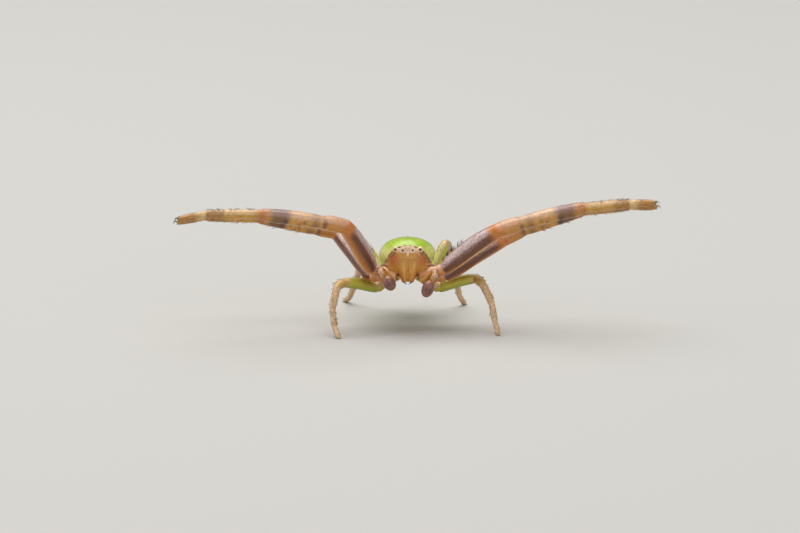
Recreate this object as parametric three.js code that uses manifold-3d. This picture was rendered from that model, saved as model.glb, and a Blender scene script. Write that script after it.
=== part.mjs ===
// A male crab spider at life size, in millimetres, +Z up, facing -Y, with its first two pairs
// of legs raised to the sides and its last two pairs standing on the floor.
// The origin is the middle of its footprint at floor level.
import * as THREE from "three";
import { mergeVertices } from "three/addons/utils/BufferGeometryUtils.js";
import Module from "manifold-3d";

const wasm = await Module();
wasm.setup();

// Driving sizes
const GAP = 0.04; // clear space between touching plates and leg segments
const EYE_HEIGHT = 2.6; // front side eyes above the floor
const BODY_PITCH = 10; // degrees that the head is raised
const CARAPACE_LENGTH = 1.55;
const CARAPACE_WIDTH = 1.64;
const HEAD_WIDTH = 0.94;
const CROWN = 0.1; // top of the carapace above the front side eyes
const CARAPACE_DEPTH = 0.84; // crown down to the coxae
const ABDOMEN_LENGTH = 2.06;
const ABDOMEN_WIDTH = 1.72;
const ABDOMEN_DEPTH = 1.24;
const ABDOMEN_TOP = 0.33; // above the front side eyes, across the body's axis
const WAIST = 0.12; // carapace to abdomen
const CHELICERA_LENGTH = 0.78;
const CHELICERA_WIDTH = 0.4;

// Segment lengths and greatest thickness, from the body out
const [FEMUR, PATELLA, TIBIA, METATARSUS, TARSUS] = [0, 1, 2, 3, 4];
const FRONT_LEG_NODES = {
  femur: [FEMUR],
  patella_tibia: [PATELLA, TIBIA],
  metatarsus: [METATARSUS],
  tarsus: [TARSUS],
};
const HIND_LEG_NODES = {
  femur: [FEMUR],
  patella_tibia: [PATELLA, TIBIA],
  metatarsus_tarsus: [METATARSUS, TARSUS],
};
const LEG_SIZES = {
  1: { lengths: [2.0, 0.77, 1.97, 1.64, 0.86], widths: [0.56, 0.47, 0.44, 0.31, 0.22] },
  2: { lengths: [2.1, 0.7, 1.87, 1.64, 0.88], widths: [0.5, 0.43, 0.41, 0.3, 0.22] },
  3: { lengths: [1.2, 0.36, 0.72, 0.58, 0.44], widths: [0.35, 0.28, 0.23, 0.19, 0.17] },
  4: { lengths: [1.3, 0.42, 1.2, 1.02, 0.48], widths: [0.35, 0.28, 0.23, 0.19, 0.17] },
};
// Where each trochanter ends on the spider's left: across, back and up from between its eyes
const LEG_STARTS = {
  1: [1.1, 0.32, -0.66],
  2: [1.12, 0.75, -1.0],
  3: [0.94, 1.16, -1.45],
  4: [0.74, 1.46, -1.22],
};
// Where each coxa meets the sternum: across the body, and back from the face
const COXA_ROOTS = { 1: [0.36, 0.36], 2: [0.4, 0.71], 3: [0.36, 1.02], 4: [0.28, 1.3] };
const COXA_WIDTHS = { 1: 0.38, 2: 0.36, 3: 0.29, 4: 0.28 };
// [forward turn, rise] of each segment in degrees, from straight out sideways.
// The last two pairs have no rise for the tarsus, because its tip is set on the floor.
const POSES = {
  leg1_left: [[7, 37], [-3, 18], [2, 14], [34, 11], [32, 7]],
  leg1_right: [[55, 49], [23, 15], [16, 10], [13, 3], [14, -8]],
  leg2_left: [[-4, 32], [10, 28], [4, 19], [31, 11], [25, 3]],
  leg2_right: [[-55, 30], [28, 14], [16, 14], [13, 4], [7, -10]],
  leg3_left: [[12, 18], [55, -19], [55, -47], [70, -62], [65]],
  leg3_right: [[32, 15], [56, -8], [70, -56], [105, -64], [115]],
  leg4_left: [[-66, 43], [-74, -18], [-74, -56], [-70, -58], [-66]],
  leg4_right: [[-67, 30], [-74, -22], [-72, -48], [-68, -50], [-66]],
};
const BOWS = [0.05, 0.01, 0.02, 0, 0]; // how far each segment arches upwards
const FOOT_FLAT = 0.03; // how far each foot's round tip is planed off

const rad = THREE.MathUtils.degToRad;
const bodyTurn = new THREE.Matrix4().makeRotationX(-rad(BODY_PITCH));
const vec = (x, y, z) => new THREE.Vector3(x, y, z);
// A point in the body's own frame: across, back from the face, and up from the eyes
const onBody = (x, back, up) => vec(x, back, up).applyMatrix4(bodyTurn);

function solidFrom(geometry) {
  geometry.deleteAttribute("normal");
  geometry.deleteAttribute("uv");
  const merged = mergeVertices(geometry, 1e-4);
  return new wasm.Manifold(
    new wasm.Mesh({
      numProp: 3,
      vertProperties: new Float32Array(merged.attributes.position.array),
      triVerts: new Uint32Array(merged.index.array),
    }),
  );
}

function geometryFrom(solid) {
  const mesh = solid.getMesh();
  const geometry = new THREE.BufferGeometry();
  geometry.setAttribute("position", new THREE.BufferAttribute(mesh.vertProperties, 3));
  geometry.setIndex(new THREE.BufferAttribute(mesh.triVerts, 1));
  return geometry;
}

const largest = (solid) =>
  solid.decompose().reduce((best, piece) => (piece.volume() > best.volume() ? piece : best));

// One closed surface through rings of points, each end closed on its middle point
function loft(rings) {
  const count = rings[0].length;
  const positions = [];
  const index = [];
  rings.forEach((ring) => ring.forEach((p) => positions.push(p.x, p.y, p.z)));
  for (let i = 0; i + 1 < rings.length; i++) {
    for (let j = 0; j < count; j++) {
      const a = i * count + j;
      const b = i * count + ((j + 1) % count);
      index.push(a, b, b + count, a, b + count, a + count);
    }
  }
  const middle = (ring) =>
    ring.reduce((sum, p) => sum.add(p), vec(0, 0, 0)).divideScalar(count);
  [rings[0], rings[rings.length - 1]].forEach((ring, end) => {
    const centre = middle(ring);
    const apex = positions.length / 3;
    positions.push(centre.x, centre.y, centre.z);
    const base = end * (rings.length - 1) * count;
    for (let j = 0; j < count; j++) {
      const a = base + j;
      const b = base + ((j + 1) % count);
      index.push(...(end ? [apex, a, b] : [apex, b, a]));
    }
  });
  const geometry = new THREE.BufferGeometry();
  geometry.setAttribute("position", new THREE.Float32BufferAttribute(positions, 3));
  geometry.setIndex(index);
  const solid = solidFrom(geometry);
  if (solid.volume() > 0) return solid;
  for (let i = 0; i < index.length; i += 3) [index[i], index[i + 1]] = [index[i + 1], index[i]];
  geometry.setIndex(index);
  return solidFrom(geometry);
}

// Rings along a straight round piece from start to end. thickness(t) is its radius along it,
// and each end lies on the plane of startNormal or endNormal, so that two pieces at a bend
// meet face to face. bow is how far its middle arches upwards.
function limbRings(start, end, thickness, sides, steps, startNormal, endNormal, bow = 0) {
  const axis = end.clone().sub(start).normalize();
  const across = vec(0, 0, 1).cross(axis);
  if (across.length() < 0.1) across.set(1, 0, 0);
  across.normalize();
  const up = axis.clone().cross(across);
  const MITRE_REACH = 0.25; // share of the length over which a slanted end fades out
  const limit = start.distanceTo(end) * MITRE_REACH;
  const rings = [];
  for (let i = 0; i <= steps; i++) {
    const t = i / steps;
    const centre = start.clone().lerp(end, t).addScaledVector(up, bow * Math.sin(Math.PI * t));
    const radius = thickness(t);
    const normal = t < 0.5 ? startNormal : endNormal;
    const fade = Math.max(0, 1 - Math.min(t, 1 - t) / MITRE_REACH);
    const ring = [];
    for (let j = 0; j < sides; j++) {
      const angle = (j / sides) * 2 * Math.PI;
      const offset = across
        .clone()
        .multiplyScalar(Math.cos(angle) * radius)
        .add(up.clone().multiplyScalar(Math.sin(angle) * radius));
      const slide = normal ? -offset.dot(normal) / axis.dot(normal) : 0;
      offset.addScaledVector(axis, THREE.MathUtils.clamp(slide, -limit, limit) * fade);
      ring.push(centre.clone().add(offset));
    }
    rings.push(ring);
  }
  return rings;
}

const limb = (...measures) => loft(limbRings(...measures));

// Radius along a segment: narrow at both joints, fullest at the share called peak
function segmentRadius(width, startShare, endShare, peak) {
  return (t) => {
    const share = t < peak ? startShare : endShare;
    const reach = t < peak ? 1 - t / peak : (t - peak) / (1 - peak);
    return (width / 2) * (1 - (1 - share) * Math.pow(reach, 3));
  };
}

// A tapered bristle with its root sunk into the limb that it grows from
function spine(root, direction, length, width) {
  const tip = root.clone().addScaledVector(direction, length);
  const sunk = root.clone().addScaledVector(direction, -width);
  return limb(sunk, tip, (t) => (width / 2) * (1 - 0.8 * t), 5, 1);
}

// The carapace, with every face moved out by grow
function carapaceShape(grow) {
  const SIDES = 24;
  const STEPS = 14;
  const WIDEST = 0.6; // share of the length where it is widest
  const rings = [];
  for (let i = 0; i <= STEPS; i++) {
    const t = (1 - Math.cos((Math.PI * i) / STEPS)) / 2;
    const head = HEAD_WIDTH / 2;
    const swell = Math.sin((Math.PI / 2) * Math.min(1, t / WIDEST));
    const rear = Math.max(0, (t - WIDEST) / (1 - WIDEST));
    const front = Math.min(1, Math.sqrt(Math.min(1, (t + 0.002) / 0.035)));
    const rearRound = Math.sqrt(Math.max(0.02, 1 - Math.pow(rear, 2.6)));
    const half = (head + (CARAPACE_WIDTH / 2 - head) * swell) * rearRound * (0.8 + 0.2 * front);
    const fall = Math.max(0, (t - 0.3) / 0.7);
    const top = CROWN - 0.03 * (1 - front) - 0.46 * Math.pow(fall, 2.2);
    const chin = Math.min(1, t / 0.16);
    const low = CROWN - CARAPACE_DEPTH;
    const bottom = -0.28 + (low + 0.28) * Math.sin((Math.PI / 2) * chin) + 0.16 * Math.pow(rear, 4);
    const waistline = THREE.MathUtils.lerp(bottom, top, 0.3);
    const ring = [];
    for (let j = 0; j < SIDES; j++) {
      const angle = (j / SIDES) * 2 * Math.PI;
      const c = Math.cos(angle);
      const s = Math.sin(angle);
      // The upper flanks slope straight in to the crown, and the lower ones turn under sharply
      const hollow = s > 0 ? 1 - 0.16 * Math.sqrt(Math.sin(Math.PI * Math.min(1, s / 0.8))) : 1;
      const x = Math.sign(c) * Math.pow(Math.abs(c), s > 0 ? 1.1 : 0.7) * (half + grow) * hollow;
      const span = s > 0 ? top + grow - waistline : waistline - (bottom - grow);
      const z = waistline + Math.sign(s) * Math.pow(Math.abs(s), s > 0 ? 1 : 0.7) * span;
      ring.push(onBody(x, THREE.MathUtils.lerp(-grow, CARAPACE_LENGTH + grow, t), z));
    }
    rings.push(ring);
  }
  return loft(rings);
}

// The abdomen is an egg, blunt in front and narrower at the spinnerets, moved out by grow
function abdomenShape(grow) {
  const SIDES = 24;
  const STEPS = 16;
  const FRONT = CARAPACE_LENGTH + WAIST;
  const rings = [];
  for (let i = 0; i <= STEPS; i++) {
    const t = (1 - Math.cos((Math.PI * i) / STEPS)) / 2;
    const egg = Math.sqrt(Math.max(0.0006, 1 - Math.pow(Math.abs(2 * t - 1), 2.25)));
    const lean = 1 + 0.16 * Math.sin(Math.PI * t) * (t - 0.35); // fuller behind the middle
    const half = (ABDOMEN_WIDTH / 2) * egg * lean;
    const tall = (ABDOMEN_DEPTH / 2) * egg;
    const level = ABDOMEN_TOP - ABDOMEN_DEPTH / 2 - 0.1 * t * t;
    const ring = [];
    for (let j = 0; j < SIDES; j++) {
      const angle = (j / SIDES) * 2 * Math.PI;
      const s = Math.sin(angle);
      const flatTop = s > 0 ? Math.pow(s, 0.9) : s;
      const back = THREE.MathUtils.lerp(FRONT - grow, FRONT + ABDOMEN_LENGTH + grow, t);
      ring.push(
        onBody(Math.cos(angle) * (half + grow), back, level + flatTop * (tall + grow)),
      );
    }
    rings.push(ring);
  }
  return loft(rings);
}

// The sternum is a shallow heart-shaped plate between the coxae
function sternumShape(grow) {
  const SIDES = 20;
  const rings = [];
  const FLOOR = CROWN - CARAPACE_DEPTH - GAP;
  const THICK = 0.14;
  [[0.5, 0], [0.9, 0], [1, 0.35], [0.85, 0.75], [0.4, 1]].forEach(([share, depth]) => {
    const ring = [];
    for (let j = 0; j < SIDES; j++) {
      const angle = (j / SIDES) * 2 * Math.PI;
      const taper = 1 - 0.25 * Math.sin(angle); // narrower behind
      ring.push(
        onBody(
          Math.cos(angle) * (0.3 + grow) * share * taper,
          0.8 + Math.sin(angle) * (0.46 + grow) * share,
          FLOOR - depth * (THICK + grow) + (depth ? 0 : grow),
        ),
      );
    }
    rings.push(ring);
  });
  return loft(rings);
}

const sphere = (centre, radius, detail = 10) =>
  solidFrom(
    new THREE.SphereGeometry(radius, detail, Math.round(detail * 0.6)).translate(...centre),
  );

// Eyes on the left side of the head, which the right side mirrors: across, back and up, the
// radius of the lens, and the radius of the mound behind it
const EYES = {
  front_middle: [0.15, 0.01, -0.03, 0.032, 0.055],
  front_side: [0.375, 0.02, 0.0, 0.042, 0.1],
  rear_middle: [0.158, 0.24, 0.125, 0.03, 0.055],
  rear_side: [0.47, 0.36, 0.0, 0.038, 0.08],
};
// Which way each mound lies from its lens: inward, behind and below, in mound radii
const EYE_BACKS = {
  front_middle: [0, 0.8, 0],
  front_side: [0, 0.8, 0],
  rear_middle: [0, 0.5, 0.75],
  rear_side: [0.8, 0.1, 0.3],
};
const SIDES_OF_BODY = { left: 1, right: -1 };

const materials = {};
function paint(name, color, roughness) {
  materials[name] = new THREE.MeshStandardMaterial({ color, roughness, metalness: 0 });
}
paint("carapace", 0xb8751f, 0.4);
paint("abdomen", 0x8fce1c, 0.45);
paint("eye", 0x160a06, 0.08);
paint("jaw", 0xc08226, 0.4);
paint("fang", 0x3a1a0c, 0.25);
paint("palp", 0x8a5a44, 0.35);
paint("front_leg", 0x9a5a1a, 0.35);
paint("hind_leg", 0xa8a428, 0.4);
paint("sternum", 0xc8a040, 0.5);

const group = new THREE.Group();
const body = new THREE.Group(); // keeps the eyes at the level zero; the floor is below
group.add(body);
const carvedBody = [];

function addNode(name, solid, material) {
  const mesh = new THREE.Mesh(geometryFrom(largest(solid)), materials[material]);
  mesh.name = name;
  body.add(mesh);
}

const grownCarapace = carapaceShape(GAP);
const grownAbdomen = abdomenShape(GAP);
const grownSternum = sternumShape(GAP);

// Head and carapace in one shell, with a shallow socket for each eye
let carapace = carapaceShape(0);
for (const [sideName, side] of Object.entries(SIDES_OF_BODY)) {
  for (const [eyeName, [x, back, up, radius, mound]] of Object.entries(EYES)) {
    const [inward, behind, drop] = EYE_BACKS[eyeName].map((share) => share * mound);
    const centre = onBody(side * x, back, up);
    carapace = carapace.add(sphere(onBody(side * (x - inward), back + behind, up - drop), mound, 10));
    carvedBody.push([`eye_${eyeName}_${sideName}`, centre, radius]);
  }
}
for (const [name, centre, radius] of carvedBody) {
  const SOCKET = 0.012; // clear space round each eye
  carapace = carapace.subtract(sphere(centre, radius + SOCKET, 10));
  addNode(name, sphere(centre, radius, 10), "eye");
}
addNode("carapace", carapace, "carapace");
addNode("sternum", sternumShape(0), "sternum");
addNode("abdomen", abdomenShape(0), "abdomen");

// The waist joins the two halves of the body
const waist = limb(
  onBody(0, CARAPACE_LENGTH - 0.3, -0.42),
  onBody(0, CARAPACE_LENGTH + WAIST + 0.4, -0.38),
  () => 0.13,
  12,
  2,
);
addNode("pedicel", waist.subtract(grownCarapace).subtract(grownAbdomen), "carapace");

// Two pairs of spinnerets in one cluster under the abdomen's tip
let spinnerets = null;
for (const [x, drop] of [[0.09, 0], [-0.09, 0], [0.07, -0.13], [-0.07, -0.13]]) {
  const root = onBody(x * 0.6, CARAPACE_LENGTH + WAIST + ABDOMEN_LENGTH - 0.22, -0.42 + drop);
  const tip = onBody(x, CARAPACE_LENGTH + WAIST + ABDOMEN_LENGTH + 0.12, -0.44 + drop);
  const cone = limb(root, tip, (t) => 0.085 - 0.035 * t, 8, 2);
  spinnerets = spinnerets ? spinnerets.add(cone) : cone;
}
addNode("spinnerets", spinnerets.subtract(grownAbdomen), "abdomen");

// Jaws hang from the front of the head, each ending in a small folded fang
const grownJaws = {};
for (const [sideName, side] of Object.entries(SIDES_OF_BODY)) {
  const jaw = (grow) =>
    limb(
      onBody(side * (CHELICERA_WIDTH / 2 + GAP / 2), 0.2, -0.18 + grow),
      onBody(side * 0.105, 0.1, -0.2 - CHELICERA_LENGTH - grow),
      (t) => (CHELICERA_WIDTH / 2) * (1 - 0.56 * Math.pow(t, 1.5)) + grow,
      14,
      6,
    );
  const midPlane = new THREE.BoxGeometry(2, 3, 3).translate(side * (1 + GAP / 2), 0, 0);
  grownJaws[sideName] = jaw(GAP);
  addNode(
    `chelicera_${sideName}`,
    jaw(0).intersect(solidFrom(midPlane)).subtract(grownCarapace),
    "jaw",
  );
  const fang = limb(
    onBody(side * 0.15, 0.06, -0.92),
    onBody(side * 0.035, 0.02, -1.12),
    (t) => 0.045 * (1 - 0.75 * t),
    8,
    3,
  );
  addNode(`fang_${sideName}`, fang.subtract(grownJaws[sideName]), "fang");
}

// One jointed limb, cut at each bend on the plane that halves it. plan maps each node's name to
// the segments that it holds: within a node they run on, and between two nodes half a gap is
// taken off either side. rootPlane is the plane that its first segment starts on.
function jointedLimb(name, points, plan, widths, sides, material, rootPlane, dress) {
  const STEPS = 5;
  const directions = points.slice(1).map((p, i) => p.clone().sub(points[i]).normalize());
  const last = directions.length - 1;
  const planeAt = (i) => {
    if (i === 0) return rootPlane;
    return i > last ? null : directions[i - 1].clone().add(directions[i]).normalize();
  };
  for (const [nodeName, segments] of Object.entries(plan)) {
    const rings = [];
    const dressing = [];
    segments.forEach((i, place) => {
      const begins = place === 0;
      const ends = place === segments.length - 1;
      const start = points[i].clone().addScaledVector(directions[i], begins ? GAP / 2 : 0);
      const trim = ends && i !== last ? -GAP / 2 : 0;
      const end = points[i + 1].clone().addScaledVector(directions[i], trim);
      const jointShare = 0.8;
      const startShare = i === 0 ? 0.72 : (jointShare * widths[i - 1]) / widths[i];
      const endShare = i === last ? 0.45 : jointShare;
      const radius = segmentRadius(widths[i], Math.min(1, startShare), endShare, 0.45);
      const bow = BOWS[i];
      const made = limbRings(start, end, radius, sides, STEPS, planeAt(i), planeAt(i + 1), bow);
      rings.push(...(begins ? made : made.slice(1)));
      if (dress) dressing.push([i, start, end, radius]);
    });
    let solid = loft(rings);
    for (const place of dressing) solid = dress(solid, ...place);
    addNode(`${name}_${nodeName}`, solid, material);
  }
}

// Coxa and trochanter: a short stout piece from the sternum's edge to the femur
function coxaOf(pair, side, start, femurWay) {
  const [x, back] = COXA_ROOTS[pair];
  const root = onBody(side * x, back, CROWN - CARAPACE_DEPTH - 0.1);
  const way = start.clone().sub(root).normalize();
  const mitre = way.clone().add(femurWay).normalize();
  const end = start.clone().addScaledVector(way, -GAP / 2);
  const width = COXA_WIDTHS[pair];
  const radius = (t) => (width / 2) * (1 - 0.16 * Math.pow(Math.abs(t - 0.45) / 0.55, 2));
  const whole = limb(root, end, radius, 10, 4, null, mitre);
  return [whole.subtract(grownCarapace).subtract(grownSternum), mitre];
}

function legPoints(pair, side, angles, floor) {
  const lengths = LEG_SIZES[pair].lengths;
  const [x, y, z] = LEG_STARTS[pair];
  const points = [vec(side * x, y, z)];
  angles.forEach(([turn, rise], i) => {
    const from = points[i];
    const lift = rise === undefined ? Math.asin((floor - from.z) / lengths[i]) : rad(rise);
    const flat = Math.cos(lift) * lengths[i];
    points.push(
      vec(
        from.x + side * Math.cos(rad(turn)) * flat,
        from.y - Math.sin(rad(turn)) * flat,
        from.z + Math.sin(lift) * lengths[i],
      ),
    );
  });
  return points;
}

// Spines of a raised leg: a row along the femur's upper edge, and pairs under the tibia and
// metatarsus, all leaning towards the foot
function dressFrontLeg(solid, segment, start, end, radius) {
  const axis = end.clone().sub(start).normalize();
  const across = vec(0, 0, 1).cross(axis).normalize();
  const up = axis.clone().cross(across);
  const rows = {
    [FEMUR]: { shares: [0.18, 0.3, 0.42, 0.56], ways: [[-0.35, 1]], length: 0.26 },
    [TIBIA]: { shares: [0.2, 0.45, 0.7], ways: [[0.6, -1], [-0.6, -1]], length: 0.24 },
    [METATARSUS]: {
      shares: [0.12, 0.4, 0.68],
      ways: [[0.7, -1], [-0.7, -1]],
      length: 0.2,
    },
  }[segment];
  if (!rows) return solid;
  const WIDTH = 0.06;
  for (const share of rows.shares) {
    for (const [sideways, upward] of rows.ways) {
      const out = across.clone().multiplyScalar(sideways).addScaledVector(up, upward).normalize();
      const root = start
        .clone()
        .lerp(end, share)
        .addScaledVector(out, radius(share) * 0.85);
      const lean = out.clone().addScaledVector(axis, 0.9).normalize();
      solid = solid.add(spine(root, lean, rows.length, WIDTH));
    }
  }
  return solid;
}

// Two small hooked claws past the tip of each tarsus
function addClaws(solid, end, axis, size) {
  const across = vec(0, 0, 1).cross(axis).normalize();
  for (const side of [1, -1]) {
    const way = axis.clone().addScaledVector(across, side * 0.5).normalize();
    solid = solid.add(spine(end.clone().addScaledVector(across, side * 0.02), way, size, 0.05));
  }
  return solid;
}

const EYES_TO_FLOOR = -EYE_HEIGHT;
for (const [legName, angles] of Object.entries(POSES)) {
  const pair = Number(legName[3]);
  const side = SIDES_OF_BODY[legName.split("_")[1]];
  const standing = pair > 2;
  const widths = LEG_SIZES[pair].widths;
  const tipRadius = (widths[4] / 2) * 0.45;
  const floor = EYES_TO_FLOOR + tipRadius - FOOT_FLAT;
  const points = legPoints(pair, side, angles, floor);
  const material = standing ? "hind_leg" : "front_leg";
  const femurWay = points[1].clone().sub(points[0]).normalize();
  const [coxa, mitre] = coxaOf(pair, side, points[0], femurWay);
  addNode(`${legName}_coxa`, coxa, material);
  const under = solidFrom(new THREE.BoxGeometry(40, 40, 1).translate(0, 0, EYES_TO_FLOOR - 0.5));
  const plan = standing ? HIND_LEG_NODES : FRONT_LEG_NODES;
  jointedLimb(legName, points, plan, widths, 10, material, mitre, (solid, segment, ...place) => {
    if (standing) {
      if (segment !== TARSUS) return solid;
      return solid.add(sphere(points[5], tipRadius * 1.35, 10)).subtract(under);
    }
    if (segment !== TARSUS) return dressFrontLeg(solid, segment, ...place);
    const [start, end] = place;
    return addClaws(solid, end, end.clone().sub(start).normalize(), 0.12);
  });
}

// Palps: a short arm in three parts, rounded at its joints, ending in the male's swollen bulb
const PALP_WIDTH = 0.2;
const PALP_POINTS = {
  left: [[0.42, -0.14, -0.98], [0.78, -0.22, -0.62], [0.83, -0.38, -0.7], [0.71, -0.42, -0.86],
    [0.5, -0.46, -1.36]],
  right: [[-0.42, -0.14, -0.98], [-0.78, -0.2, -0.56], [-0.82, -0.36, -0.6], [-0.7, -0.4, -0.74],
    [-0.42, -0.46, -1.14]],
};
for (const [sideName, list] of Object.entries(PALP_POINTS)) {
  const points = list.map((p) => vec(...p));
  let arm = sphere(points[1], PALP_WIDTH / 2).add(sphere(points[2], PALP_WIDTH / 2));
  for (let i = 0; i < 3; i++) {
    arm = arm.add(limb(points[i], points[i + 1], () => PALP_WIDTH * 0.46, 10, 2));
  }
  addNode(`palp_${sideName}_arm`, arm, "palp");
  const way = points[4].clone().sub(points[3]).normalize();
  const bulb = limb(
    points[3].clone().addScaledVector(way, GAP * 1.5),
    points[4],
    (t) => 0.18 * Math.sqrt(Math.max(0.06, 1 - Math.pow(Math.abs(1.7 * t - 0.8), 2.2))),
    14,
    8,
  );
  addNode(`palp_${sideName}_bulb`, bulb, "palp");
}

// Stand the spider on the floor, over the middle of its footprint
const box = new THREE.Box3().setFromObject(body, true);
const middle = box.getCenter(vec(0, 0, 0));
body.position.set(-middle.x, -middle.y, EYE_HEIGHT);

export default group;
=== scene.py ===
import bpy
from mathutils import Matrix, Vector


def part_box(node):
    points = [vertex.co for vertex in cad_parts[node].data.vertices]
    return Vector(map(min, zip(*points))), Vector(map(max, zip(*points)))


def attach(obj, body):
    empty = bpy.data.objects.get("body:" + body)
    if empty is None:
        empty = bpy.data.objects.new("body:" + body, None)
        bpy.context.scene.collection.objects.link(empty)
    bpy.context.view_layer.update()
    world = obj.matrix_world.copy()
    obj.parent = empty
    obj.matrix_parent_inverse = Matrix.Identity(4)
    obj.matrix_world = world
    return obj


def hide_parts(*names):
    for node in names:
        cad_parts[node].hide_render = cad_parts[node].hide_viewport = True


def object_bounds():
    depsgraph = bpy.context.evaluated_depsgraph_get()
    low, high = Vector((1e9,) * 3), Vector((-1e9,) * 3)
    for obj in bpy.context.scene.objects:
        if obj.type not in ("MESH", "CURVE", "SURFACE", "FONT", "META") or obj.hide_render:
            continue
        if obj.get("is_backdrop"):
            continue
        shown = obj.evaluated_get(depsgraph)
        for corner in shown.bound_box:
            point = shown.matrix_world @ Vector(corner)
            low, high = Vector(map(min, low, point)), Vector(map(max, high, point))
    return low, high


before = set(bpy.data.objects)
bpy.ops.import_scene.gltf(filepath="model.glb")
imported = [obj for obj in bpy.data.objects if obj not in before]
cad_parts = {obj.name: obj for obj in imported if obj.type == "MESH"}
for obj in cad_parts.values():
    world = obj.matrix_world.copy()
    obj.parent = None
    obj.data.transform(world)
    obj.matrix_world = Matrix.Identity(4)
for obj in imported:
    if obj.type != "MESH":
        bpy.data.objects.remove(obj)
cad_box = [list(corner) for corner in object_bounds()]

import math

import bpy
import numpy as np
from mathutils import Matrix, Vector

# The spider's own frame
# Every piece is modelled in millimetres from the point midway between the front side eyes,
# with +X to the spider's left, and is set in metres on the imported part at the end.
MM = 0.001
BODY_PITCH = math.radians(10)  # how far the head is raised
FRONT_SIDE_EYE = (0.375, 0.02, 0.0)


def on_body(across, back, up):
    turn = math.cos(BODY_PITCH), math.sin(BODY_PITCH)
    return np.stack(np.broadcast_arrays(
        across, back * turn[0] + up * turn[1], up * turn[0] - back * turn[1]), axis=-1)


eye_low, eye_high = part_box("eye_front_side_left")
HOME = (eye_low + eye_high) / 2 / MM - Vector(on_body(*FRONT_SIDE_EYE))
FLOOR = -HOME.z


def settle(piece, slot, *nodes):
    for vertex in piece.data.vertices:
        vertex.co.z = max(vertex.co.z, FLOOR)
    piece.data.transform(Matrix.Scale(MM, 4) @ Matrix.Translation(HOME))
    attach(piece, "root")
    if nodes:
        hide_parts(*nodes)


# Camera, in front and a little above
# It stands 200 mm away with a long lens, so that a frame 24 mm wide fits the raised legs.
MM_PER_PIXEL = 0.03
FRAME_WIDTH, FRAME_HEIGHT = 800, 533  # pixels
FRAME_MIDDLE = np.array([FRAME_WIDTH, FRAME_HEIGHT]) / 2
EYES_IN_FRAME = np.array([407.75, 249.5])  # the point midway between the front side eyes
ELEVATION = math.radians(12)
DISTANCE = 200
SENSOR = 36
aside, down = (FRAME_MIDDLE - EYES_IN_FRAME) * MM_PER_PIXEL
view_up = Vector((0, math.sin(ELEVATION), math.cos(ELEVATION)))
view_forward = Vector((0, math.cos(ELEVATION), -math.sin(ELEVATION)))
target = HOME + Vector((aside, 0, 0)) - view_up * down
bpy.ops.object.camera_add(
    location=(target - view_forward * DISTANCE) * MM, rotation=(math.pi / 2 - ELEVATION, 0, 0))
camera = bpy.context.object
camera.data.sensor_width = SENSOR
camera.data.lens = SENSOR * DISTANCE / (FRAME_WIDTH * MM_PER_PIXEL)
camera.data.clip_start = 0.01
camera.data.clip_end = 10
bpy.context.scene.camera = camera


# Materials
# One function turns a colour as a painter would write it into Blender's linear values, one
# makes a material of a single colour, and one adds a node with its settings and links.
def tone(code):
    srgb = [int(code[i : i + 2], 16) / 255 for i in (1, 3, 5)]
    return np.array([c / 12.92 if c < 0.04045 else ((c + 0.055) / 1.055) ** 2.4 for c in srgb])


def rgba(code):
    return (*tone(code), 1)


def new_material(name):
    material = bpy.data.materials.new(name)
    material.use_nodes = True
    return material, material.node_tree.nodes["Principled BSDF"]


def set_inputs(node, settings):
    for name, value in settings.items():
        node.inputs[name].default_value = value


def plain_material(name, code, settings):
    material, shader = new_material(name)
    set_inputs(shader, {"Base Color": rgba(code), **settings})
    return material


def add_node(material, kind, settings=None, **inputs):
    tree = material.node_tree
    node = tree.nodes.new(kind)
    for name, value in (settings or {}).items():
        setattr(node, name, value)
    for name, value in inputs.items():
        socket = node.inputs[int(name[1:])] if name[1:].isdigit() else node.inputs[name]
        if isinstance(value, bpy.types.NodeSocket):
            tree.links.new(value, socket)
        else:
            socket.default_value = value
    return node


def link(material, output, socket):
    material.node_tree.links.new(output, socket)


# Floor
# A plain pale sheet of matt card, wide enough to fill every view.
FLOOR_WIDTH = 3  # metres
bpy.ops.object.select_all(action="DESELECT")
bpy.ops.mesh.primitive_plane_add(size=FLOOR_WIDTH)
floor = bpy.context.object
floor.name = "floor"
floor.data.materials.append(plain_material("matt pale card", "#C2BFB9", {"Roughness": 0.9}))
floor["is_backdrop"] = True

# Lights
# A large soft box overhead gives the broad sheen on top of the legs, and two weaker ones fill
# the face and the far side.
LIGHTS = {  # place and size in metres, power in watts
    "overhead": ((-0.02, 0.03, 0.16), 0.2, 0.36),
    "front_fill": ((0.1, -0.2, 0.1), 0.2, 0.15),
    "side_fill": ((-0.2, -0.06, 0.08), 0.15, 0.1),
}
LIT_HEIGHT = 2.5
for name, (place, size, power) in LIGHTS.items():
    aim = (Vector((0, 0, LIT_HEIGHT * MM)) - Vector(place)).to_track_quat("-Z", "Y").to_euler()
    bpy.ops.object.light_add(type="AREA", location=place, rotation=aim)
    light = bpy.context.object
    light.name = name
    light.data.size = size
    light.data.energy = power
world = bpy.data.worlds.new("studio")
bpy.context.scene.world = world
world.use_nodes = True
set_inputs(world.node_tree.nodes["Background"], {"Color": rgba("#E8ECF0"), "Strength": 0.3})
bpy.context.scene.view_settings.view_transform = "Standard"

# Flesh forms
# Each part of the body is first a closed form of its own, painted with its own markings, and
# the legs and coxae also with painted highlight along their tops. One skin is then drawn over
# them all, as the living cuticle runs on through the soft joints.
forms = []


def rise(value, start, end):
    share = np.clip((value - start) / (end - start), 0, 1)
    return share * share * (3 - 2 * share)


def band(value, start, end, soft=0.05):
    return rise(value, start - soft, start + soft) * (1 - rise(value, end - soft, end + soft))


def blend(under, over, amount):
    amount = np.broadcast_to(np.asarray(amount)[..., None], under.shape)
    return under + (over - under) * amount


def coordinates(mesh):
    flat = np.empty(len(mesh.vertices) * 3)
    mesh.vertices.foreach_get("co", flat)
    return flat.reshape(-1, 3)


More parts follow.
